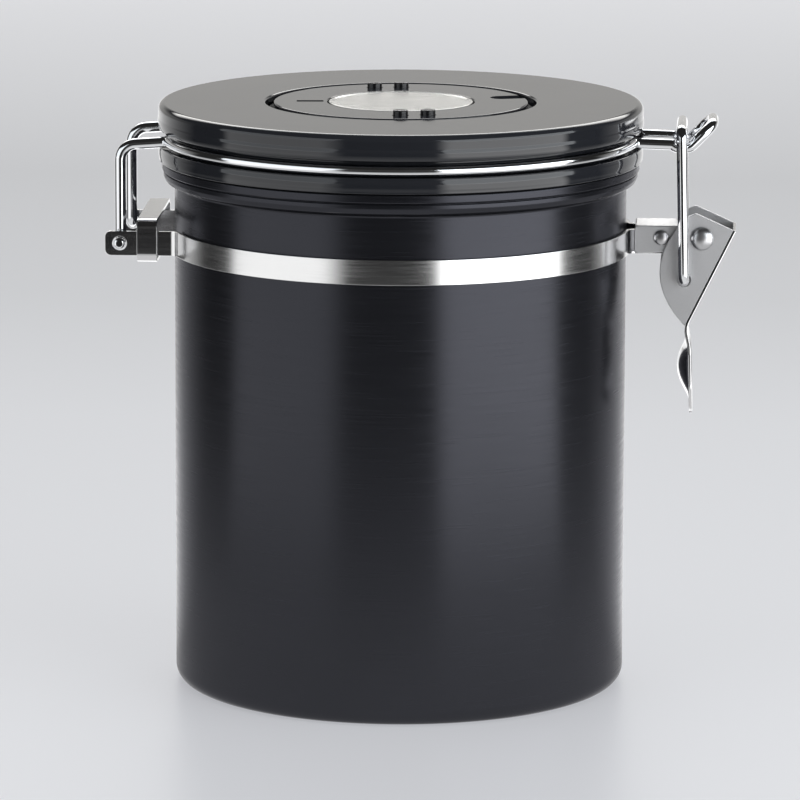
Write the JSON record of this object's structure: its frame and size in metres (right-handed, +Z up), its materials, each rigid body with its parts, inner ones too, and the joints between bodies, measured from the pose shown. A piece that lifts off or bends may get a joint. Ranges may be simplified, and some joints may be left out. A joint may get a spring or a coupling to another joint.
{
  "type": "clip-top storage canister",
  "caption": "Clip-top steel storage canister with a wire-hung lid, an over-centre latch, a one-way gas valve and a date dial.",
  "frame": {"origin": "centre of the flat base, on the surface it stands on", "axes": "+Z up along the body's axis, +X towards the latch, -X towards the hinge, -Y is the front"},
  "size_m": [0.1637, 0.127, 0.1553],
  "materials": {
    "coated_steel": "satin",
    "polished_steel": "polished",
    "chrome_wire": "mirror",
    "brushed_steel": "brushed",
    "gloss_plastic": "gloss",
    "black_plastic": "matte",
    "silicone": "matte",
    "filter_fibre": "matte"
  },
  "bodies": {
    "body": {"body_shell": "coated_steel", "band_front": "polished_steel", "band_rear": "polished_steel", "hinge_clasp": "polished_steel", "latch_bracket": "polished_steel", "bracket_rivet_front": "polished_steel", "bracket_rivet_rear": "polished_steel", "lever_pivot_pin": "polished_steel"},
    "lid": {"lid_wire": "chrome_wire", "lid_cap": "gloss_plastic", "lid_gasket": "silicone", "lid_liner": "polished_steel", "valve_housing": "black_plastic", "valve_filter_cap": "black_plastic", "valve_filter": "filter_fibre", "dial_spindle": "black_plastic", "spindle_screw": "polished_steel", "centre_disc": "brushed_steel", "number_ring": "black_plastic"},
    "dial": {"date_dial": "gloss_plastic", "dial_carrier": "black_plastic", "dial_peg_1": "black_plastic", "dial_peg_2": "black_plastic", "dial_peg_3": "black_plastic", "dial_peg_4": "black_plastic"},
    "valve": {"valve_diaphragm": "silicone"},
    "lever": {"latch_lever": "polished_steel"},
    "bail": {"latch_bail": "chrome_wire"}
  },
  "joints": [
    {"name": "lid_hinge", "type": "hinge", "parent": "body", "child": "lid", "pos_m": [-0.0721, 0, 0.1183], "axis": [0, -1, 0], "range_deg": [0, 200]},
    {"name": "dial_spin", "type": "hinge", "parent": "lid", "child": "dial", "pos_m": [0, 0, 0.1507], "axis": [0, 0, 1], "continuous": true},
    {"name": "valve_lift", "type": "slide", "parent": "lid", "child": "valve", "axis": [0, 0, 1], "range_m": [0, 0.0006]},
    {"name": "lever_pivot", "type": "hinge", "parent": "body", "child": "lever", "pos_m": [0.079, 0, 0.1195], "axis": [0, -1, 0], "range_deg": [0, 140]},
    {"name": "bail_swing", "type": "hinge", "parent": "lever", "child": "bail", "pos_m": [0.0744, 0, 0.1086], "axis": [0, -1, 0], "range_deg": [-105, 0]}
  ],
  "couplings": [
    {"joint": "bail_swing", "follows": "lever_pivot", "ratio": -0.73}
  ]
}
